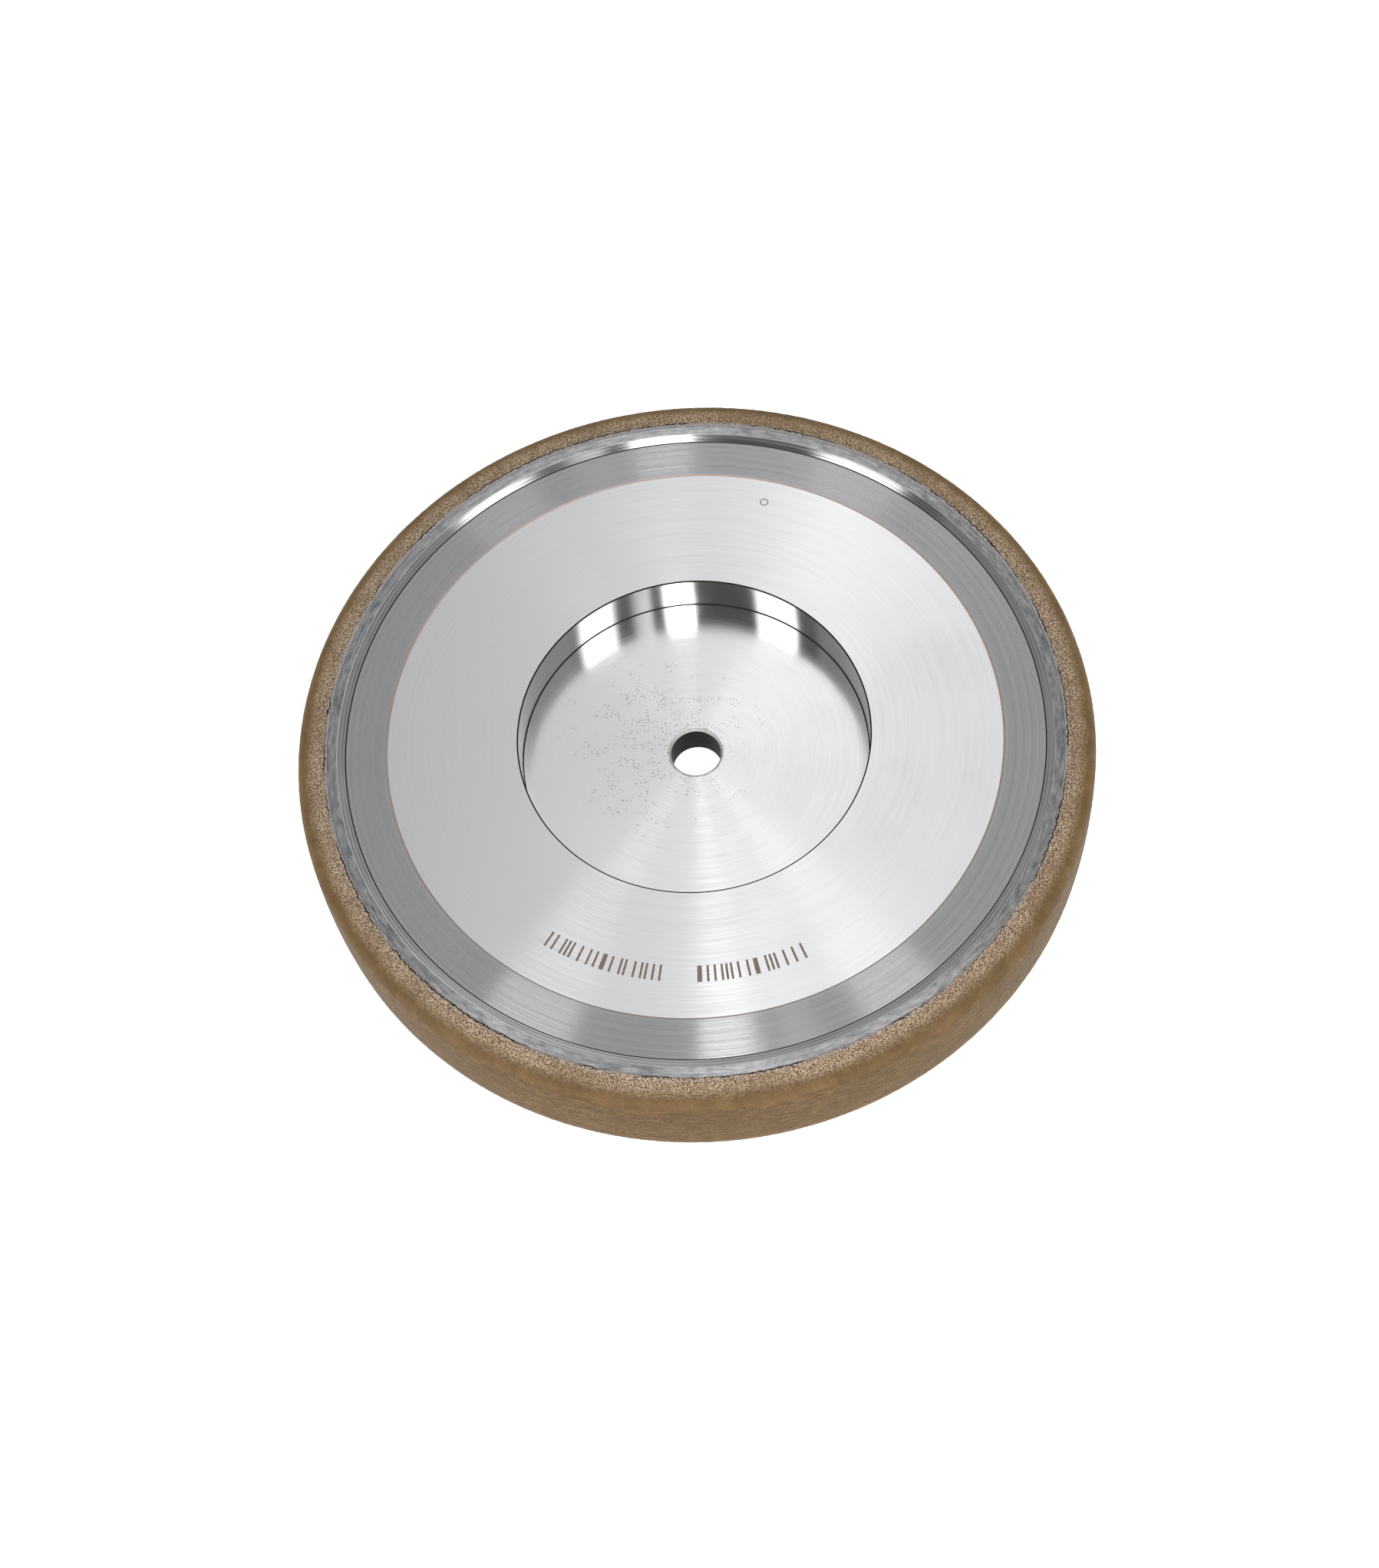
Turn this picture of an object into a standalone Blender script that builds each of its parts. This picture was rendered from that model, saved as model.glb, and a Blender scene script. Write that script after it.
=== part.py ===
"""Diamond grinding wheel: a turned steel body with a counterbored front, a steel carrier ring pressed over it,
and a sintered bronze-bond diamond rim keyed to the ring through a thin transition layer.

The wheel lies on its back. Z is the spin axis, and Z = 0 is the back plane of the ring and the rim.
"""

import math

import bmesh
import bpy

# Driving dimensions, in metres.
WHEEL_RADIUS = 0.100  # at the widest point of the rim's crown
RIM_WIDTH = 0.025  # also the carrier ring's
BORE_RADIUS = 0.00635
COUNTERBORE_RADIUS = 0.0440
COUNTERBORE_DEPTH = 0.0110

FACE_SINK = 0.00125  # the front face lies this far below the carrier ring's front
BAND_RISE = 0.0003  # the outer band stands this far above the front face
BACK_SINK = 0.00325  # the back face lies this far above the ring's back plane
FACE_RADIUS = 0.0768  # where the step up to the band starts
BAND_INNER_RADIUS = 0.0772
SEAM_RADIUS = 0.0874  # where the body ends and the carrier ring begins
BEVEL_OUTER_RADIUS = 0.0895
BEVEL_FOOT_SINK = 0.0008  # the bevel's foot lies this far below the ring's front
RING_OUTER_RADIUS = 0.0919
RIM_INNER_RADIUS = 0.0935

SHOULDER_RADIUS = 0.0890  # the body's shoulder, which the ring is pressed against
SHOULDER_HEIGHT = 0.0060  # its top, above the ring's back plane
KEY_DEPTH = 0.0010  # grooves round the ring, which the transition layer fills
KEY_WIDTH = 0.0030
KEY_HEIGHTS = (0.0070, 0.0180)  # their middles, from the back

RIM_SHOULDER_RADIUS = 0.0034
RIM_BACK_RADIUS = 0.0010
RIM_CROWN = 0.0005  # how far the rim's side bulges between its ends

EDGE_BREAK = 0.0004  # chamfer on the turned edges
BORE_CHAMFER = 0.0005
GAP = 0.0003  # between pieces that are pressed or sintered together

SEGMENTS = 128
SHOULDER_STEPS = 5
BACK_STEPS = 2
CROWN_SHARES = (0.75, 0.5, 0.25)  # of the rim's width, where its side has points
SMOOTH_ANGLE = math.radians(35)
MERGE_DISTANCE = 0.00001

FRONT = RIM_WIDTH
FACE = RIM_WIDTH - FACE_SINK
BAND = FACE + BAND_RISE
FLOOR = FACE - COUNTERBORE_DEPTH


def clear_scene():
    for obj in list(bpy.data.objects):
        bpy.data.objects.remove(obj, do_unlink=True)


def make_collection(name):
    collection = bpy.data.collections.new(name)
    bpy.context.scene.collection.children.link(collection)
    return collection


def make_material(name, colour, roughness, metallic):
    material = bpy.data.materials.new(name)
    material.use_nodes = True
    shader = material.node_tree.nodes["Principled BSDF"]
    shader.inputs["Base Color"].default_value = (*colour, 1.0)
    shader.inputs["Roughness"].default_value = roughness
    shader.inputs["Metallic"].default_value = metallic
    material.diffuse_color = (*colour, 1.0)
    return material


def arc(centre_r, centre_z, radius, start_deg, end_deg, steps):
    """Points of an arc in the (r, z) half-plane. 0 degrees points outwards, 90 towards the front."""
    points = []
    for i in range(steps + 1):
        angle = math.radians(start_deg + (end_deg - start_deg) * i / steps)
        points.append((centre_r + radius * math.cos(angle), centre_z + radius * math.sin(angle)))
    return points


def turned(name, profile, material, collection):
    """A ring turned from a closed profile of (r, z) points, which runs down its outer side."""
    mesh = bpy.data.meshes.new(name)
    bm = bmesh.new()
    corners = [bm.verts.new((r, 0.0, z)) for r, z in profile]
    for i, corner in enumerate(corners):
        bm.edges.new((corner, corners[(i + 1) % len(corners)]))
    bm.to_mesh(mesh)
    bm.free()
    piece = bpy.data.objects.new(name, mesh)
    collection.objects.link(piece)
    piece.data.materials.append(material)
    screw = piece.modifiers.new("turn", "SCREW")
    screw.axis = "Z"
    screw.angle = math.tau
    screw.steps = SEGMENTS
    screw.render_steps = SEGMENTS
    screw.use_merge_vertices = True
    screw.merge_threshold = MERGE_DISTANCE
    shade_smooth(piece)
    return piece


def shade_smooth(piece):
    """Replaces the piece's mesh with its turned one, smooth round the axis and sharp at the turned edges."""
    graph = bpy.context.evaluated_depsgraph_get()
    mesh = bpy.data.meshes.new_from_object(piece.evaluated_get(graph))
    piece.modifiers.clear()
    piece.data = mesh
    mesh.shade_smooth()
    mesh.set_sharp_from_angle(angle=SMOOTH_ANGLE)


def core_body_profile():
    """Clockwise from the front face's inner edge: front, outer side, shoulder, back, bore, counterbore."""
    return [
        (COUNTERBORE_RADIUS + EDGE_BREAK, FACE),
        (FACE_RADIUS, FACE),
        (BAND_INNER_RADIUS, BAND),
        (SEAM_RADIUS, BAND),
        (SEAM_RADIUS, SHOULDER_HEIGHT),
        (SHOULDER_RADIUS, SHOULDER_HEIGHT),
        (SHOULDER_RADIUS, BACK_SINK + EDGE_BREAK),
        (SHOULDER_RADIUS - EDGE_BREAK, BACK_SINK),
        (BORE_RADIUS + BORE_CHAMFER, BACK_SINK),
        (BORE_RADIUS, BACK_SINK + BORE_CHAMFER),
        (BORE_RADIUS, FLOOR - BORE_CHAMFER),
        (BORE_RADIUS + BORE_CHAMFER, FLOOR),
        (COUNTERBORE_RADIUS, FLOOR),
        (COUNTERBORE_RADIUS, FACE - EDGE_BREAK),
    ]


def key_corners(radius, width):
    """The corners of the keys cut into a cylinder, from its back to its front."""
    corners = []
    for height in KEY_HEIGHTS:
        low, high = height - width / 2, height + width / 2
        corners += [(radius, low), (radius - KEY_DEPTH, low), (radius - KEY_DEPTH, high), (radius, high)]
    return corners


def carrier_ring_profile():
    """Clockwise from the bevel's foot: bevel, front, grooved outer side, back, stepped bore."""
    seat = SEAM_RADIUS + GAP
    return [
        (seat, FRONT - BEVEL_FOOT_SINK),
        (BEVEL_OUTER_RADIUS, FRONT),
        (RING_OUTER_RADIUS, FRONT),
        *reversed(key_corners(RING_OUTER_RADIUS, KEY_WIDTH)),
        (RING_OUTER_RADIUS, 0.0),
        (SHOULDER_RADIUS + GAP + EDGE_BREAK, 0.0),
        (SHOULDER_RADIUS + GAP, EDGE_BREAK),
        (SHOULDER_RADIUS + GAP, SHOULDER_HEIGHT + GAP),
        (seat, SHOULDER_HEIGHT + GAP),
    ]


def transition_layer_profile():
    """Clockwise from the front's inner edge: front, plain outer side, back, ribs that fill the ring's grooves."""
    inner = RING_OUTER_RADIUS + GAP
    outer = RIM_INNER_RADIUS - GAP
    ribs = key_corners(inner, KEY_WIDTH - 2 * GAP)
    return [(inner, FRONT), (outer, FRONT), (outer, 0.0), (inner, 0.0), *ribs]


def crown_radius(height):
    """The rim's radius at a height on its side."""
    middle = RIM_WIDTH / 2
    return WHEEL_RADIUS - RIM_CROWN * ((height - middle) / middle) ** 2


def diamond_rim_profile():
    """Clockwise from the front's inner edge: front, rounded shoulder, crowned side, back corner, back."""
    side_top = FRONT - RIM_SHOULDER_RADIUS
    side_bottom = RIM_BACK_RADIUS
    top_r = crown_radius(side_top)
    bottom_r = crown_radius(side_bottom)
    shoulder = arc(top_r - RIM_SHOULDER_RADIUS, side_top, RIM_SHOULDER_RADIUS, 90, 0, SHOULDER_STEPS)
    back = arc(bottom_r - RIM_BACK_RADIUS, side_bottom, RIM_BACK_RADIUS, 0, -90, BACK_STEPS)
    side = [(crown_radius(share * RIM_WIDTH), share * RIM_WIDTH) for share in CROWN_SHARES]
    return [(RIM_INNER_RADIUS, FRONT), *shoulder, *side, *back, (RIM_INNER_RADIUS, 0.0)]


def build():
    clear_scene()
    wheel = make_collection("diamond_grinding_wheel")
    turned_steel = make_material("turned_steel", (0.62, 0.63, 0.64), 0.28, 1.0)
    sintered_steel = make_material("sintered_steel", (0.27, 0.28, 0.30), 0.55, 0.9)
    copper_layer = make_material("copper_layer", (0.30, 0.24, 0.22), 0.6, 0.8)
    bronze_diamond = make_material("bronze_diamond", (0.36, 0.25, 0.13), 0.65, 0.6)
    turned("core_body", core_body_profile(), turned_steel, wheel)
    turned("carrier_ring", carrier_ring_profile(), sintered_steel, wheel)
    turned("transition_layer", transition_layer_profile(), copper_layer, wheel)
    turned("diamond_rim", diamond_rim_profile(), bronze_diamond, wheel)


build()
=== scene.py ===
"""The looks of a diamond grinding wheel: finely turned steel, a dull sintered steel ring and a gritty bronze rim.

The CAD model gives every size. Each of its pieces is replaced by a finer mesh of the same shape.
"""

import math
import random

import bpy
import numpy as np
from mathutils import Matrix, Vector, noise


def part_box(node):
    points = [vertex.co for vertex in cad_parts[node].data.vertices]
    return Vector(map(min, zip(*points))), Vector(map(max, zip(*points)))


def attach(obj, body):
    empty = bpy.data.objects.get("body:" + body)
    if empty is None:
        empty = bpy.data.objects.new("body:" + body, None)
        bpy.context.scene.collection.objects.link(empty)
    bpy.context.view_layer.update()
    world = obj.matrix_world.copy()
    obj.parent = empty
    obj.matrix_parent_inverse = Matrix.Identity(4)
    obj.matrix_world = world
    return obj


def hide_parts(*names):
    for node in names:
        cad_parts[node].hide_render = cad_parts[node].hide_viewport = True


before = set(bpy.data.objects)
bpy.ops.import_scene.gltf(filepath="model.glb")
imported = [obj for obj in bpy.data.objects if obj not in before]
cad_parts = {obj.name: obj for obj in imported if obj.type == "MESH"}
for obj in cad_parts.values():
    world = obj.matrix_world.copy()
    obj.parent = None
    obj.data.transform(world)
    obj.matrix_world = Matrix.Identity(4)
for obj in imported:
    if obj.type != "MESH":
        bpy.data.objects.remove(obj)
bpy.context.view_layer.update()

MM = 0.001

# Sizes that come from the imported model.
RIM_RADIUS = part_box("diamond_rim")[1].x
RIM_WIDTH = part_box("diamond_rim")[1].z
BACK_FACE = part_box("core_body")[0].z
BAND_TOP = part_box("core_body")[1].z
BODY_SHOULDER_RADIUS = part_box("core_body")[1].x

# Sizes inside those boxes, as in the CAD model, except that the gaps of the joints are closed.
BORE_RADIUS = 6.35 * MM
BORE_CHAMFER = 0.5 * MM
COUNTERBORE_RADIUS = 44.0 * MM
COUNTERBORE_DEPTH = 11.0 * MM
FACE_RADIUS = 76.8 * MM
BAND_INNER_RADIUS = 77.2 * MM
BAND_RISE = 0.3 * MM
FACE_TOP = BAND_TOP - BAND_RISE
FLOOR_TOP = FACE_TOP - COUNTERBORE_DEPTH
SEAM_RADIUS = 87.4 * MM
SEAM_WIDTH = 0.10 * MM  # between the body and the ring
BEVEL_FOOT = RIM_WIDTH - 0.8 * MM
BEVEL_OUTER_RADIUS = 89.5 * MM
SHOULDER_TOP = 6.0 * MM
RIM_INNER_RADIUS = 93.2 * MM
LAYER_WIDTH = 1.25 * MM
LAYER_SINK = 0.07 * MM
RIM_SHOULDER_RADIUS = 3.4 * MM
RIM_BACK_RADIUS = 1.0 * MM
RIM_CROWN = 0.5 * MM

# Where the looks change.
CRACK_RADIUS = RIM_INNER_RADIUS - 0.6 * MM
CRACK_OFFSET = 0.4 * MM  # how far the line in the layer is off centre
PITTED_FROM, PITTED_TO = 93.6 * MM, 95.8 * MM  # radii over which the pits near the joint thin out
DRESSED_FROM, DRESSED_TO = 94.6 * MM, 98.0 * MM  # radii over which the gritty rim turns smooth
CORNER_HIGHLIGHT_FROM, CORNER_HIGHLIGHT_TO = 8.8 * MM, 11.2 * MM  # distances from the rim's middle over which a painted highlight makes its side lighter towards the corners
MARK_INNER, MARK_OUTER = 63.4 * MM, 67.6 * MM  # radii of the bars on the face
MARK_START, MARK_END = 232, 288  # degrees
MARK_BREAK = (258, 264)  # a gap between the two groups of bars

# The lit room, in radiance. Its middle is the direction that the wheel's flat faces mirror towards the camera.
MIRRORED_Y = 0.485  # the Y of that direction
BRIGHTEST = 6.0
# (degrees round that direction from +X, radiance)
STRIPS = [(0, 0.40), (30, 0.45), (150, 0.45), (180, 0.40), (212, 0.32), (219, 0.30), (221, 0.12),
          (228, 0.12), (229, 3.0), (243, 3.0), (244, 0.09), (264.5, 0.09), (265.5, 6.0), (273.8, 6.0),
          (274.8, 0.12), (279, 0.12), (280, 1.5), (285, 0.9), (286, 0.12), (292, 0.15), (293, 3.0),
          (305, 3.0), (307, 0.25), (312, 0.40), (359, 0.40)]
# (sine of the angle to the right of it, radiance)
WINDOW = [(-0.30, 0.50), (-0.16, 0.63), (-0.10, 0.75), (-0.05, 0.92), (0.00, 0.98), (0.04, 1.15),
          (0.08, 1.40), (0.11, 1.30), (0.15, 1.08), (0.20, 0.95), (0.32, 0.7)]
WINDOW_HALF = 0.5  # how far to each side of that direction it reaches
WINDOW_RIGHT = (0.97, -0.23)  # which way is right for it
WINDOW_EDGE = (0.28, 0.52)  # distances from that direction over which the strips take over from it

SEGMENTS = 720
RIM_SEGMENTS = 1440


# ---------------------------------------------------------------- meshes


def arc(centre_r, centre_z, radius, start_deg, end_deg, steps):
    """Points of an arc in the (r, z) half-plane. 0 degrees points outwards, 90 towards the front."""
    angles = np.radians(np.linspace(start_deg, end_deg, steps + 1))
    return [(centre_r + radius * math.cos(a), centre_z + radius * math.sin(a)) for a in angles]


def refined(points, step):
    """The same open outline with points at most a step apart."""
    out = [points[0]]
    for (r0, z0), (r1, z1) in zip(points, points[1:]):
        count = max(1, math.ceil(math.hypot(r1 - r0, z1 - z0) / step))
        out += [(r0 + (r1 - r0) * i / count, z0 + (z1 - z0) * i / count) for i in range(1, count + 1)]
    return out


def turned(name, spans, segments):
    """A closed ring turned about Z. spans are (material, points) and run clockwise in the (r, z) half-plane:
    along the front outwards, down the outer side, along the back inwards, up the inside. Each span starts where
    the last one ended."""
    outline, zones, materials = [], [], []
    for material, points in spans:
        if material not in materials:
            materials.append(material)
        outline += points[:-1]
        zones += [materials.index(material)] * (len(points) - 1)
    rows = len(outline)
    angles = np.arange(segments) * math.tau / segments
    radius = np.array([p[0] for p in outline])
    height = np.array([p[1] for p in outline])
    xyz = np.empty((segments, rows, 3))
    xyz[..., 0] = np.cos(angles)[:, None] * radius
    xyz[..., 1] = np.sin(angles)[:, None] * radius
    xyz[..., 2] = height
    here = np.arange(segments)[:, None] * rows
    there = (np.arange(1, segments + 1) % segments)[:, None] * rows
    row = np.arange(rows)
    following = (row + 1) % rows
    quads = np.stack([here + row, here + following, there + following, there + row], axis=-1).reshape(-1, 4)
    mesh = bpy.data.meshes.new(name)
    mesh.from_pydata(xyz.reshape(-1, 3).tolist(), [], quads.tolist())
    for material in materials:
        mesh.materials.append(material)
    mesh.polygons.foreach_set("material_index", np.tile(zones, segments).astype(np.int32))
    mesh.shade_smooth()
    mesh.set_sharp_from_angle(angle=math.radians(28))
    piece = bpy.data.objects.new(name, mesh)
    bpy.context.scene.collection.objects.link(piece)
    return piece


def coordinates(piece):
    co = np.empty(len(piece.data.vertices) * 3)
    piece.data.vertices.foreach_get("co", co)
    return co.reshape(-1, 3)


def set_coordinates(piece, co):
    piece.data.vertices.foreach_set("co", co.astype(np.float32).ravel())
    piece.data.update()


def as_part(piece, node):
    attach(piece, "root")
    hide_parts(node)
    return piece


# ---------------------------------------------------------------- materials


def material_nodes(name):
    return Nodes(bpy.data.materials.new(name))


class Nodes:
    """Builds the node tree of a material or a world with short calls."""

    def __init__(self, owner):
        owner.use_nodes = True
        self.owner = owner
        self.tree = owner.node_tree
        self.shader = self.tree.nodes.get("Principled BSDF")

    def plug(self, value, socket):
        if isinstance(value, bpy.types.NodeSocket):
            self.tree.links.new(value, socket)
        else:
            socket.default_value = value

    def math(self, operation, a, b=0.0):
        node = self.tree.nodes.new("ShaderNodeMath")
        node.operation = operation
        self.plug(a, node.inputs[0])
        self.plug(b, node.inputs[1])
        return node.outputs[0]

    def noise(self, vector, scale, detail=2.0, roughness=0.5):
        node = self.tree.nodes.new("ShaderNodeTexNoise")
        self.plug(vector, node.inputs["Vector"])
        node.inputs["Scale"].default_value = scale
        node.inputs["Detail"].default_value = detail
        node.inputs["Roughness"].default_value = roughness
        return node.outputs["Fac"]

    def cells(self, vector, scale):
        """The distance from the middles of a Voronoi texture's cells."""
        node = self.tree.nodes.new("ShaderNodeTexVoronoi")
        self.plug(vector, node.inputs["Vector"])
        node.inputs["Scale"].default_value = scale
        return node.outputs["Distance"]

    def ramp(self, value, stops):
        """A colour ramp. stops are (position, colour or grey)."""
        node = self.tree.nodes.new("ShaderNodeValToRGB")
        ramp = node.color_ramp
        while len(ramp.elements) < len(stops):
            ramp.elements.new(0.5)
        for element, (position, colour) in zip(ramp.elements, stops):
            element.position = position
            grey = isinstance(colour, (int, float))
            element.color = (colour, colour, colour, 1.0) if grey else (*colour, 1.0)
        self.plug(value, node.inputs["Fac"])
        return node.outputs["Color"]

    def span(self, value, low, high, to_low=0.0, to_high=1.0, smooth=True):
        """value mapped from low..high to to_low..to_high."""
        node = self.tree.nodes.new("ShaderNodeMapRange")
        node.interpolation_type = "SMOOTHSTEP" if smooth else "LINEAR"
        self.plug(value, node.inputs["Value"])
        node.inputs["From Min"].default_value = low
        node.inputs["From Max"].default_value = high
        node.inputs["To Min"].default_value = to_low
        node.inputs["To Max"].default_value = to_high
        return node.outputs["Result"]

    def mix(self, factor, a, b):
        node = self.tree.nodes.new("ShaderNodeMix")
        node.data_type = "RGBA"
        self.plug(factor, node.inputs["Factor"])
        for value, socket in ((a, node.inputs["A"]), (b, node.inputs["B"])):
            self.plug((*value, 1.0) if isinstance(value, tuple) and len(value) == 3 else value, socket)
        return node.outputs["Result"]

    def position(self):
        """The point in the wheel's own frame, in millimetres."""
        source = self.tree.nodes.new("ShaderNodeTexCoord")
        scaled = self.tree.nodes.new("ShaderNodeVectorMath")
        scaled.operation = "SCALE"
        self.tree.links.new(source.outputs["Object"], scaled.inputs[0])
        scaled.inputs["Scale"].default_value = 1.0 / MM
        return scaled.outputs["Vector"]

    def parts(self, vector):
        node = self.tree.nodes.new("ShaderNodeSeparateXYZ")
        self.tree.links.new(vector, node.inputs[0])
        return node.outputs

    def combined(self, x, y, z):
        node = self.tree.nodes.new("ShaderNodeCombineXYZ")
        for value, socket in zip((x, y, z), node.inputs):
            self.plug(value, socket)
        return node.outputs[0]

    def polar(self, around, across):
        """Coordinates that run round the axis: noise in them is stretched along the turning marks.
        around is how many units go round per radian, across how many per millimetre of radius and height."""
        x, y, z = self.parts(self.position())
        radius = self.math("SQRT", self.math("ADD", self.math("MULTIPLY", x, x), self.math("MULTIPLY", y, y)))
        safe = self.math("MAXIMUM", radius, 0.01)
        east = self.math("MULTIPLY", self.math("DIVIDE", x, safe), around)
        north = self.math("MULTIPLY", self.math("DIVIDE", y, safe), around)
        outward = self.math("MULTIPLY", self.math("ADD", radius, z), across)
        return self.combined(east, north, outward), radius, z

    def bump(self, height, strength, distance=0.0001, normal=None):
        node = self.tree.nodes.new("ShaderNodeBump")
        self.plug(strength, node.inputs["Strength"])
        node.inputs["Distance"].default_value = distance
        self.plug(height, node.inputs["Height"])
        if normal is not None:
            self.tree.links.new(normal, node.inputs["Normal"])
        return node.outputs["Normal"]

    def vector(self, operation, *values):
        node = self.tree.nodes.new("ShaderNodeVectorMath")
        node.operation = operation
        for value, socket in zip(values, node.inputs):
            self.plug(value, socket)
        return node.outputs["Vector"]

    def marked_normal(self, lean):
        """The surface's normal, leaned across the turning marks by a share of its length. It never leans along
        them, so the highlights stay sharp round the axis."""
        normal = self.tree.nodes.new("ShaderNodeNewGeometry").outputs["Normal"]
        x, y, _ = self.parts(self.position())
        along = self.vector("NORMALIZE", self.combined(self.math("MULTIPLY", y, -1.0), x, 0.0))
        across = self.vector("CROSS_PRODUCT", along, normal)
        leaned = self.vector("MULTIPLY_ADD", across, self.combined(lean, lean, lean), normal)
        return self.vector("NORMALIZE", leaned)

    def fine_grooves(self, depth):
        """Slopes of marks that are too fine to see one by one."""
        hidden = self.noise(self.polar(around=0.0, across=40.0)[0], 1.0, detail=1.0)
        return self.span(hidden, 0.3, 0.7, -depth, depth, smooth=False)

    def near(self, x, y):
        """The distance from an upright line at (x, y), in millimetres."""
        here_x, here_y, _ = self.parts(self.position())
        east, north = self.math("SUBTRACT", here_x, x), self.math("SUBTRACT", here_y, y)
        return self.math("SQRT", self.math("ADD", self.math("MULTIPLY", east, east),
                                           self.math("MULTIPLY", north, north)))

    def turning_direction(self):
        node = self.tree.nodes.new("ShaderNodeTangent")
        node.direction_type = "RADIAL"
        node.axis = "Z"
        self.tree.links.new(node.outputs["Tangent"], self.shader.inputs["Tangent"])


def turned_steel(name, colour, roughness, lean=0.0, mark_depth=0.02, grooves=0.0, stained=None, dark_lines=(),
                 punched=None):
    """Steel with turning marks round the axis, which draw highlights out into fans. Slopes across the marks:
    lean is how far their long flanks lean outwards, mark_depth how far the visible ones vary about that, and
    grooves how far the marks too fine to see do. In millimetres: stained is (x, y, reach) of a patch of brown
    specks, scribed the radii of fine dark lines, and punched (x, y, radius) of a small plain ring."""
    n = material_nodes(name)
    n.turning_direction()
    fine, radius, _ = n.polar(around=1.5, across=2.4)
    marks = n.noise(fine, 1.0, detail=3.0, roughness=0.65)
    bands = n.noise(n.polar(around=3.0, across=1.6)[0], 1.0, detail=2.0)
    patches = n.noise(n.position(), 0.035, detail=3.0)
    lines = n.math("ADD", n.math("MULTIPLY", marks, 0.6), n.math("MULTIPLY", bands, 0.4))
    dark = tuple(c * 0.93 for c in colour)
    light = tuple(min(c * 1.04, 1.0) for c in colour)
    shade = n.ramp(lines, [(0.30, dark), (0.50, colour), (0.72, light)])
    shade = n.mix(n.span(patches, 0.50, 0.70, 0.0, 0.35), shade, tuple(c * 0.95 for c in colour))
    if stained:
        x, y, reach = stained
        dots = n.span(n.cells(n.position(), 1.7), 0.18, 0.42, 0.75, 0.0)
        fleck = n.math("MULTIPLY", dots, n.span(n.noise(n.position(), 1.1, detail=2.0), 0.42, 0.56))
        spread = n.math("ADD", n.near(x, y), n.span(n.noise(n.position(), 0.25), 0.3, 0.7, -reach, reach))
        patch = n.span(spread, 0.4 * reach, 1.1 * reach, 1.0, 0.0)
        shade = n.mix(n.math("MULTIPLY", fleck, patch), shade, (0.21, 0.18, 0.155))
    if punched:
        x, y, size = punched
        off = n.math("ABSOLUTE", n.math("SUBTRACT", n.near(x, y), size))
        shade = n.mix(n.span(off, 0.12, 0.28, 0.7, 0.0), shade, (0.16, 0.12, 0.09))
    # Fine dark lines drawn into the colour at these radii.
    for line in dark_lines:
        off = n.math("ABSOLUTE", n.math("SUBTRACT", radius, line))
        broken = n.span(n.noise(n.polar(around=5.0, across=0.0)[0], 1.0), 0.40, 0.60, 0.25, 0.9)
        shade = n.mix(n.math("MULTIPLY", n.span(off, 0.03, 0.10, 1.0, 0.0), broken), shade, (0.05, 0.05, 0.05))
    n.plug(shade, n.shader.inputs["Base Color"])
    n.shader.inputs["Metallic"].default_value = 1.0
    n.shader.inputs["Anisotropic"].default_value = 1.0
    n.shader.inputs["Anisotropic Rotation"].default_value = 0.25
    rough = n.math("ADD", n.span(marks, 0.3, 0.7, -0.02, 0.02), n.span(patches, 0.3, 0.8, -0.01, 0.02))
    n.plug(n.math("ADD", rough, roughness), n.shader.inputs["Roughness"])
    slope = n.span(lines, 0.3, 0.7, lean - mark_depth, lean + mark_depth, smooth=False)
    if grooves:
        slope = n.math("ADD", slope, n.fine_grooves(grooves))
    n.plug(n.marked_normal(slope), n.shader.inputs["Normal"])
    return n.owner


def plain_steel(name, colour, roughness):
    """Dull steel for the small faces: the chamfers, the step and the joints. Near black, it is painted shade
    inside the bore and in the groove at the pocket's foot, the seam's dark line, and the dark mouth of the pocket.
    """
    n = material_nodes(name)
    marks = n.noise(n.polar(around=2.0, across=4.0)[0], 1.0, detail=3.0)
    n.plug(n.ramp(marks, [(0.3, tuple(c * 0.7 for c in colour)), (0.7, colour)]), n.shader.inputs["Base Color"])
    n.shader.inputs["Metallic"].default_value = 0.4
    n.shader.inputs["Specular IOR Level"].default_value = 0.15
    n.plug(n.span(marks, 0.3, 0.7, roughness - 0.05, roughness + 0.05), n.shader.inputs["Roughness"])
    n.plug(n.bump(marks, 0.2, 0.00005), n.shader.inputs["Normal"])
    return n.owner


def etched_mark():
    """The neutral bars burned into the face: a dull brown oxide."""
    n = material_nodes("etched_mark")
    grain = n.noise(n.position(), 3.0, detail=4.0)
    n.plug(n.ramp(grain, [(0.35, (0.15, 0.11, 0.085)), (0.65, (0.29, 0.23, 0.19))]), n.shader.inputs["Base Color"])
    n.shader.inputs["Metallic"].default_value = 0.5
    n.plug(n.span(grain, 0.3, 0.7, 0.5, 0.7), n.shader.inputs["Roughness"])
    n.plug(n.bump(grain, 0.3, 0.00003), n.shader.inputs["Normal"])
    return n.owner


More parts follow.
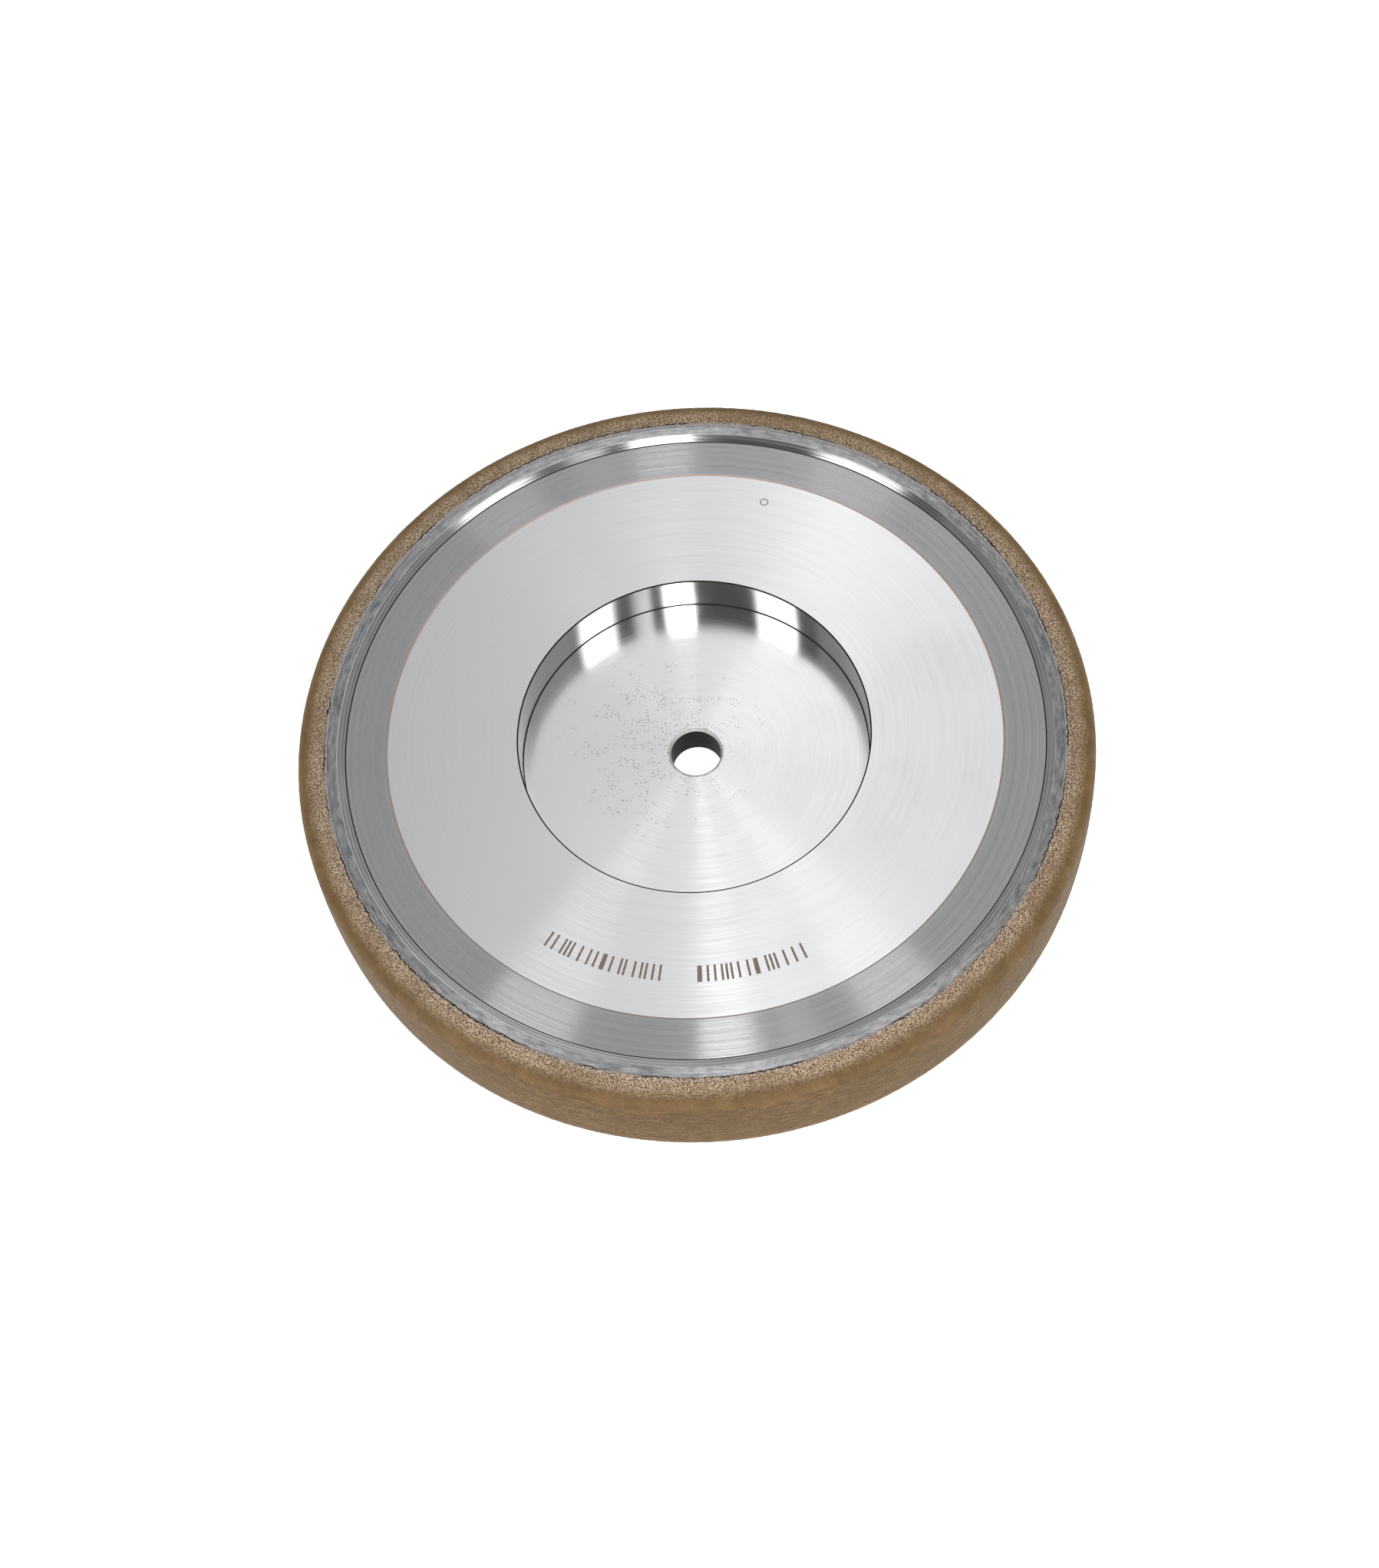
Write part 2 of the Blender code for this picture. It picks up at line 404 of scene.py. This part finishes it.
def sintered_steel():
    """The ring's dull grey front: a mottled sintered skin, turned like the steel beside it."""
    n = material_nodes("sintered_steel")
    n.turning_direction()
    mottle = n.noise(n.position(), 0.35, detail=5.0, roughness=0.62)
    streaks = n.noise(n.polar(around=26.0, across=1.6)[0], 1.0, detail=4.0, roughness=0.6)
    grain = n.noise(n.position(), 4.0, detail=3.0, roughness=0.6)
    blend = n.math("ADD", n.math("MULTIPLY", mottle, 0.3), n.math("MULTIPLY", streaks, 0.7))
    shade = n.ramp(blend, [(0.34, (0.20, 0.21, 0.225)), (0.47, (0.32, 0.325, 0.335)), (0.60, (0.44, 0.43, 0.43)),
                           (0.74, (0.62, 0.59, 0.57))])
    pits = n.span(n.cells(n.position(), 1.6), 0.06, 0.16, 1.0, 0.0)
    shade = n.mix(n.math("MULTIPLY", pits, n.span(mottle, 0.48, 0.60)), shade, (0.12, 0.115, 0.115))
    n.plug(shade, n.shader.inputs["Base Color"])
    n.shader.inputs["Metallic"].default_value = 0.95
    n.shader.inputs["Anisotropic"].default_value = 0.9
    n.shader.inputs["Anisotropic Rotation"].default_value = 0.25
    n.plug(n.span(blend, 0.35, 0.7, 0.50, 0.30), n.shader.inputs["Roughness"])
    n.plug(n.bump(grain, 0.3, 0.00006, n.marked_normal(n.fine_grooves(0.4))), n.shader.inputs["Normal"])
    return n.owner


def copper_layer():
    """The layer without diamond: grey like the ring inside, brown like the rim outside, with a ragged dark line
    between that comes and goes."""
    n = material_nodes("copper_layer")
    here = n.position()
    grain = n.noise(here, 2.2, detail=4.0, roughness=0.6)
    grey = n.ramp(grain, [(0.35, (0.24, 0.225, 0.225)), (0.65, (0.43, 0.40, 0.395))])
    specks = n.math("ADD", n.math("MULTIPLY", n.noise(here, 3.6, detail=3.0, roughness=0.65), 0.6),
                    n.math("MULTIPLY", n.cells(here, 2.3), 0.5))
    brown = n.ramp(specks, [(0.35, (0.05, 0.034, 0.026)), (0.48, (0.215, 0.158, 0.112)),
                            (0.61, (0.50, 0.395, 0.31))])
    around, radius, _ = n.polar(around=4.0, across=0.0)
    wander = n.span(n.noise(n.polar(around=70.0, across=0.5)[0], 1.0, detail=4.0), 0.3, 0.7, -0.22, 0.22)
    north = n.math("DIVIDE", n.parts(here)["Y"], radius)
    line = n.math("ADD", n.math("MULTIPLY", north, CRACK_OFFSET / MM), CRACK_RADIUS / MM)
    off = n.math("SUBTRACT", n.math("ADD", radius, wander), line)
    shade = n.mix(n.span(off, -0.1, 0.1), grey, brown)
    broken = n.span(n.noise(around, 1.0, detail=4.0, roughness=0.65), 0.44, 0.54, 0.1, 1.0)
    crack = n.span(n.math("ABSOLUTE", off), 0.10, 0.24, 1.0, 0.0)
    shade = n.mix(n.math("MULTIPLY", crack, broken), shade, (0.02, 0.015, 0.014))
    n.plug(shade, n.shader.inputs["Base Color"])
    n.shader.inputs["Metallic"].default_value = 0.55
    n.shader.inputs["Specular IOR Level"].default_value = 0.1
    n.plug(n.span(grain, 0.3, 0.7, 0.65, 0.5), n.shader.inputs["Roughness"])
    sloped = n.marked_normal(n.span(off, -0.1, 0.1, 0.0, 0.17))
    n.plug(n.bump(grain, 0.6, 0.0001, sloped), n.shader.inputs["Normal"])
    return n.owner


def bronze_diamond():
    """Sintered bronze with diamond: grains, pale glints and dark pits. Its side is dressed smooth, darker, and
    streaked round the axis, and a painted highlight makes it lighter again near its two corners."""
    n = material_nodes("bronze_diamond")
    here = n.position()
    coarse, radius, _ = n.polar(around=22.0, across=1.3)
    ragged = n.math("ADD", radius, n.span(n.noise(here, 1.2, detail=3.0), 0.3, 0.7, -0.3, 0.3))
    dressed = n.span(ragged, DRESSED_FROM / MM, DRESSED_TO / MM)
    jointed = n.span(ragged, PITTED_FROM / MM, PITTED_TO / MM, 1.0, 0.1)
    grains = n.cells(here, 2.3)
    fine = n.noise(here, 3.6, detail=3.0, roughness=0.65)
    cloud = n.noise(here, 0.10, detail=3.0, roughness=0.6)
    streaks = n.noise(coarse, 1.0, detail=4.0, roughness=0.6)
    speck = n.math("ADD", n.math("MULTIPLY", fine, 0.6), n.math("MULTIPLY", grains, 0.5))
    worn = n.math("ADD", n.math("MULTIPLY", speck, 0.35), n.math("MULTIPLY", streaks, 0.65))
    gritty = n.ramp(speck, [(0.35, (0.055, 0.037, 0.024)), (0.48, (0.225, 0.162, 0.100)),
                            (0.61, (0.56, 0.425, 0.295))])
    smooth = n.ramp(worn, [(0.38, (0.060, 0.036, 0.012)), (0.50, (0.113, 0.069, 0.024)),
                           (0.62, (0.195, 0.120, 0.046))])
    tints = n.noise(n.polar(around=40.0, across=0.7)[0], 1.0, detail=3.0, roughness=0.7)
    smooth = n.mix(n.span(tints, 0.50, 0.66, 0.0, 0.7), smooth, (0.165, 0.085, 0.040))
    smooth = n.mix(n.span(tints, 0.50, 0.36, 0.0, 0.7), smooth, (0.095, 0.070, 0.028))
    # Painted highlight: the side is lighter towards both corners, where the rounded shoulders catch more light.
    off_middle = n.math("ABSOLUTE", n.math("SUBTRACT", n.parts(here)["Z"], RIM_WIDTH / 2 / MM))
    corner_highlight = n.span(off_middle, CORNER_HIGHLIGHT_FROM / MM, CORNER_HIGHLIGHT_TO / MM, 0.0, 0.5)
    smooth = n.mix(corner_highlight, smooth, (0.215, 0.142, 0.074))
    shade = n.mix(dressed, gritty, smooth)
    clouded = n.mix(dressed, (0.24, 0.15, 0.085), (0.105, 0.063, 0.027))
    shade = n.mix(n.span(cloud, 0.42, 0.62, 0.0, 0.4), shade, clouded)
    pits = n.span(n.cells(here, 1.3), 0.06, 0.24, 1.0, 0.0)
    depth = n.span(dressed, 0.0, 1.0, 0.85, 0.25, smooth=False)
    shade = n.mix(n.math("MULTIPLY", pits, depth), shade, (0.05, 0.035, 0.025))
    dots = n.span(n.cells(here, 2.2), 0.16, 0.40, 0.9, 0.0)
    shade = n.mix(n.math("MULTIPLY", dots, jointed), shade, (0.05, 0.04, 0.033))
    n.plug(shade, n.shader.inputs["Base Color"])
    n.plug(n.span(dressed, 0.0, 1.0, 0.6, 0.12, smooth=False), n.shader.inputs["Metallic"])
    n.shader.inputs["Specular IOR Level"].default_value = 0.05
    n.plug(n.span(speck, 0.3, 0.7, 0.65, 0.45), n.shader.inputs["Roughness"])
    sloped = n.marked_normal(n.span(dressed, 0.0, 1.0, 0.17, 0.0, smooth=False))
    strength = n.span(dressed, 0.0, 1.0, 0.7, 0.25, smooth=False)
    n.plug(n.bump(speck, strength, 0.00025, sloped), n.shader.inputs["Normal"])
    return n.owner


# ---------------------------------------------------------------- the four pieces


def roughen(piece, depth, frequency, chosen):
    """Moves the chosen vertices along their normals by up to the depth, in two sizes of grain."""
    normals = np.empty(len(piece.data.vertices) * 3)
    piece.data.vertices.foreach_get("normal", normals)
    normals = normals.reshape(-1, 3)
    co = coordinates(piece)
    for i, (x, y, z) in enumerate(co.tolist()):
        if chosen(math.hypot(x, y), z):
            at = Vector((x, y, z)) * frequency
            height = 0.65 * noise.noise(at) + 0.35 * noise.noise(at * 2.3)
            co[i] += normals[i] * depth * max(-1.0, min(1.0, height * 1.8))
    set_coordinates(piece, co)


def core_body():
    face = turned_steel("steel_face", (0.705, 0.705, 0.72), 0.13, lean=0.03, mark_depth=0.015,
                        punched=(25.2, 65.7, 0.95))
    band = turned_steel("steel_band", (0.37, 0.37, 0.375), 0.15, mark_depth=0.03, grooves=0.45)
    floor = turned_steel("steel_floor", (0.745, 0.74, 0.76), 0.13, lean=0.03, mark_depth=0.014,
                         stained=(-9.0, 4.0, 16.0), dark_lines=(7.0,))
    wall = turned_steel("steel_wall", (0.66, 0.66, 0.655), 0.15, mark_depth=0.03)
    back = turned_steel("steel_back", (0.58, 0.585, 0.59), 0.20, lean=0.05, grooves=0.2)
    # Near black: painted shade inside the bore and in the groove at the pocket's foot; it also draws the seam's
    # dark line.
    inside = plain_steel("steel_inside_painted_shade", (0.012, 0.0115, 0.011), 0.6)
    # Near black on the chamfer at the pocket's mouth, and a little way past it onto the face.
    dark_mouth = plain_steel("steel_dark_mouth", (0.025, 0.019, 0.015), 0.6)
    broken_edge = plain_steel("steel_broken_edge", (0.60, 0.585, 0.56), 0.5)
    pinkish = plain_steel("steel_step", (0.42, 0.34, 0.30), 0.55)
    mark = etched_mark()

    broken = 0.35 * MM  # the rear edge's chamfer
    small = 0.18 * MM  # the chamfer at the seam
    groove = 0.24 * MM  # at the pocket's foot, drawn near black as painted shade
    lip = 0.20 * MM  # the chamfer at the pocket's mouth
    dark_overlap = 0.18 * MM  # how far the near-black colour of the mouth goes on over the face
    front = [(COUNTERBORE_RADIUS + lip + dark_overlap, FACE_TOP), (MARK_INNER, FACE_TOP), (MARK_OUTER, FACE_TOP),
             (FACE_RADIUS, FACE_TOP)]
    step = [(FACE_RADIUS, FACE_TOP), (BAND_INNER_RADIUS, BAND_TOP)]
    outer_band = [(BAND_INNER_RADIUS, BAND_TOP), (SEAM_RADIUS - small, BAND_TOP)]
    joint = [(SEAM_RADIUS - small, BAND_TOP), (SEAM_RADIUS, BAND_TOP - small), (SEAM_RADIUS, SHOULDER_TOP),
             (BODY_SHOULDER_RADIUS, SHOULDER_TOP), (BODY_SHOULDER_RADIUS, BACK_FACE + broken)]
    rear = [(BODY_SHOULDER_RADIUS, BACK_FACE + broken), (BODY_SHOULDER_RADIUS - broken, BACK_FACE),
            (BORE_RADIUS + BORE_CHAMFER, BACK_FACE)]
    bore = [(BORE_RADIUS + BORE_CHAMFER, BACK_FACE), (BORE_RADIUS, BACK_FACE + BORE_CHAMFER),
            (BORE_RADIUS, FLOOR_TOP - BORE_CHAMFER)]
    bore_edge = [(BORE_RADIUS, FLOOR_TOP - BORE_CHAMFER), (BORE_RADIUS + BORE_CHAMFER, FLOOR_TOP)]
    pocket = [(BORE_RADIUS + BORE_CHAMFER, FLOOR_TOP), (COUNTERBORE_RADIUS - groove, FLOOR_TOP)]
    foot = [(COUNTERBORE_RADIUS - groove, FLOOR_TOP), (COUNTERBORE_RADIUS, FLOOR_TOP + groove)]
    side = [(COUNTERBORE_RADIUS, FLOOR_TOP + groove), (COUNTERBORE_RADIUS, FACE_TOP - lip)]
    mouth = [(COUNTERBORE_RADIUS, FACE_TOP - lip), (COUNTERBORE_RADIUS + lip, FACE_TOP),
             (COUNTERBORE_RADIUS + lip + dark_overlap, FACE_TOP)]
    spans = [(face, refined(front, 3 * MM)), (pinkish, step), (band, refined(outer_band, 2 * MM)),
             (inside, joint), (back, refined(rear, 4 * MM)), (inside, bore), (broken_edge, bore_edge),
             (floor, refined(pocket, 3 * MM)), (inside, foot), (wall, refined(side, 1.5 * MM)), (dark_mouth, mouth)]
    piece = turned("wheel_body", spans, SEGMENTS)
    paint_mark(piece, mark)
    return as_part(piece, "core_body")


def paint_mark(piece, material):
    """Two groups of plain bars across the face, where such a wheel has its markings. They say nothing."""
    draw = random.Random(5)
    columns = set()
    column = MARK_START * SEGMENTS // 360
    while column < MARK_END * SEGMENTS // 360:
        degrees = column * 360 / SEGMENTS
        width = draw.choice((1, 1, 1, 2))
        if not MARK_BREAK[0] < degrees < MARK_BREAK[1]:
            columns.update(range(column, column + width))
        column += width + draw.choice((1, 2, 2, 3))
    mesh = piece.data
    mesh.materials.append(material)
    index = len(mesh.materials) - 1
    for polygon in mesh.polygons:
        x, y, z = polygon.center
        at = int((math.degrees(math.atan2(y, x)) % 360) * SEGMENTS / 360)
        on_face = z > FACE_TOP - 0.01 * MM and polygon.normal.z > 0.9
        if on_face and MARK_INNER < math.hypot(x, y) < MARK_OUTER and at in columns:
            polygon.material_index = index


def carrier_ring():
    dull = sintered_steel()
    bevel = turned_steel("steel_bevel", (0.46, 0.46, 0.46), 0.15, mark_depth=0.04, dark_lines=(88.1, 89.1))
    inside = plain_steel("steel_joint", (0.14, 0.135, 0.13), 0.6)
    seat = SEAM_RADIUS + SEAM_WIDTH
    shoulder = BODY_SHOULDER_RADIUS + SEAM_WIDTH
    outer = RIM_INNER_RADIUS - LAYER_WIDTH
    lip = 0.12 * MM
    grain = 0.035 * MM  # kept inside the CAD outline
    top = RIM_WIDTH - grain
    slope = [(seat, BEVEL_FOOT), (BEVEL_OUTER_RADIUS, top)]
    front = [(BEVEL_OUTER_RADIUS, top), (outer - lip, top), (outer, top - lip)]
    hidden = [(outer, top - lip), (outer, grain + lip)]
    rear = [(outer, grain + lip), (outer - lip, grain), (shoulder + lip, grain), (shoulder, grain + lip)]
    bore = [(shoulder, grain + lip), (shoulder, SHOULDER_TOP + SEAM_WIDTH), (seat, SHOULDER_TOP + SEAM_WIDTH),
            (seat, BEVEL_FOOT)]
    spans = [(bevel, refined(slope, 0.5 * MM)), (dull, refined(front, 0.5 * MM)), (inside, hidden),
             (dull, refined(rear, 0.5 * MM)), (inside, bore)]
    piece = turned("sintered_ring", spans, SEGMENTS)
    roughen(piece, grain, 900.0, lambda r, z: r > BEVEL_OUTER_RADIUS + 0.2 * MM)
    return as_part(piece, "carrier_ring")


def transition_layer():
    copper = copper_layer()
    clear = 0.005 * MM  # of the ring and the rim
    inner = RIM_INNER_RADIUS - LAYER_WIDTH + clear
    outer = RIM_INNER_RADIUS - clear
    top = RIM_WIDTH - LAYER_SINK
    outline = [(inner, top), (outer, top), (outer, LAYER_SINK), (inner, LAYER_SINK), (inner, top)]
    spans = [(copper, refined(outline[:2], 0.2 * MM)), (copper, outline[1:3]),
             (copper, refined(outline[2:4], 0.2 * MM)), (copper, outline[3:5])]
    piece = turned("bond_layer", spans, RIM_SEGMENTS)
    roughen(piece, 0.05 * MM, 1500.0, lambda r, z: abs(z - RIM_WIDTH / 2) > 0.4 * RIM_WIDTH)
    return as_part(piece, "transition_layer")


def crown_radius(height):
    middle = RIM_WIDTH / 2
    return RIM_RADIUS - RIM_CROWN * ((height - middle) / middle) ** 2


def diamond_rim():
    bronze = bronze_diamond()
    side_top = RIM_WIDTH - RIM_SHOULDER_RADIUS
    top_r = crown_radius(side_top)
    bottom_r = crown_radius(RIM_BACK_RADIUS)
    grit = 0.06 * MM  # kept inside the CAD outline
    front = [(RIM_INNER_RADIUS, RIM_WIDTH - grit), (top_r - RIM_SHOULDER_RADIUS, RIM_WIDTH - grit)]
    shoulder = arc(top_r - RIM_SHOULDER_RADIUS, side_top, RIM_SHOULDER_RADIUS - grit, 90, 0, 10)
    side = [(crown_radius(z) - grit, z) for z in np.linspace(side_top, RIM_BACK_RADIUS, 34)]
    corner = arc(bottom_r - RIM_BACK_RADIUS, RIM_BACK_RADIUS, RIM_BACK_RADIUS - grit, 0, -90, 3)
    rear = [corner[-1], (RIM_INNER_RADIUS, grit)]
    hidden = [(RIM_INNER_RADIUS, grit), (RIM_INNER_RADIUS, RIM_WIDTH - grit)]
    spans = [(bronze, refined(front, 0.6 * MM) + shoulder[1:]), (bronze, side), (bronze, corner),
             (bronze, refined(rear, 0.8 * MM)), (bronze, hidden)]
    piece = turned("bronze_rim", spans, RIM_SEGMENTS)
    roughen(piece, 0.055 * MM, 1300.0, lambda r, z: r > RIM_INNER_RADIUS + 0.05 * MM)
    return as_part(piece, "diamond_rim")


core_body()
carrier_ring()
transition_layer()
diamond_rim()


# ---------------------------------------------------------------- studio


def studio_floor():
    n = material_nodes("studio_floor")
    grain = n.noise(n.position(), 0.02, detail=2.0)
    n.plug(n.ramp(grain, [(0.3, 0.90), (0.7, 0.92)]), n.shader.inputs["Base Color"])
    n.shader.inputs["Roughness"].default_value = 0.9
    n.shader.inputs["Emission Color"].default_value = (1.0, 1.0, 1.0, 1.0)
    n.shader.inputs["Emission Strength"].default_value = 0.6
    mesh = bpy.data.meshes.new("floor")
    half = 6.0
    mesh.from_pydata([(-half, -half, 0), (half, -half, 0), (half, half, 0), (-half, half, 0)], [], [(0, 1, 2, 3)])
    mesh.materials.append(n.owner)
    floor = bpy.data.objects.new("floor", mesh)
    floor.location.z = -0.2 * MM
    bpy.context.scene.collection.objects.link(floor)


def studio_room():
    """The lit room. It is drawn round the direction that the wheel's flat faces mirror towards the camera:
    strips of light and dark run out from there, and a bright window passes close to its right."""
    world = bpy.data.worlds.new("studio")
    bpy.context.scene.world = world
    n = Nodes(world)
    x, y, _ = n.parts(n.tree.nodes.new("ShaderNodeTexCoord").outputs["Generated"])
    up = n.math("SUBTRACT", y, MIRRORED_Y)
    turn = n.math("FRACT", n.math("DIVIDE", n.math("ARCTAN2", up, x), math.tau))
    away = n.math("SQRT", n.math("ADD", n.math("MULTIPLY", x, x), n.math("MULTIPLY", up, up)))
    strips = n.ramp(turn, [(degrees / 360, level / BRIGHTEST) for degrees, level in STRIPS])
    across = n.math("ADD", n.math("MULTIPLY", x, WINDOW_RIGHT[0]), n.math("MULTIPLY", up, WINDOW_RIGHT[1]))
    window = n.ramp(n.span(across, -WINDOW_HALF, WINDOW_HALF, smooth=False),
                    [(WINDOW_HALF + at, level / BRIGHTEST) for at, level in WINDOW])
    level = n.mix(n.span(away, *WINDOW_EDGE), window, strips)
    n.plug(level, n.tree.nodes["Background"].inputs["Color"])
    n.tree.nodes["Background"].inputs["Strength"].default_value = BRIGHTEST


def camera():
    """A camera at the photograph's angle: seen from 61 degrees above, turned a little about its own axis."""
    elevation, roll, distance = math.radians(61.195), math.radians(-6.553), 618.7 * MM
    pan, tilt = 0.00166, -0.02111
    forward = Vector((0.0, math.cos(elevation), -math.sin(elevation)))
    right = Vector((1.0, 0.0, 0.0))
    up = right.cross(forward)
    place = Vector((0.0, 0.0, FACE_TOP)) - forward * distance
    x_axis = math.cos(roll) * right + math.sin(roll) * up
    y_axis = -math.sin(roll) * right + math.cos(roll) * up
    turn = Matrix.Rotation(pan, 3, y_axis)
    forward, x_axis = turn @ forward, turn @ x_axis
    turn = Matrix.Rotation(tilt, 3, x_axis)
    forward, y_axis = turn @ forward, turn @ y_axis
    data = bpy.data.cameras.new("camera")
    data.sensor_width = 36.0
    data.lens = 56.90
    data.clip_start = 0.01
    view = bpy.data.objects.new("camera", data)
    basis = Matrix((x_axis, y_axis, -forward)).transposed().to_4x4()
    view.matrix_world = Matrix.Translation(place) @ basis
    bpy.context.scene.collection.objects.link(view)
    bpy.context.scene.camera = view


studio_floor()
studio_room()
camera()
bpy.context.scene.view_settings.view_transform = "Standard"

bpy.context.view_layer.update()
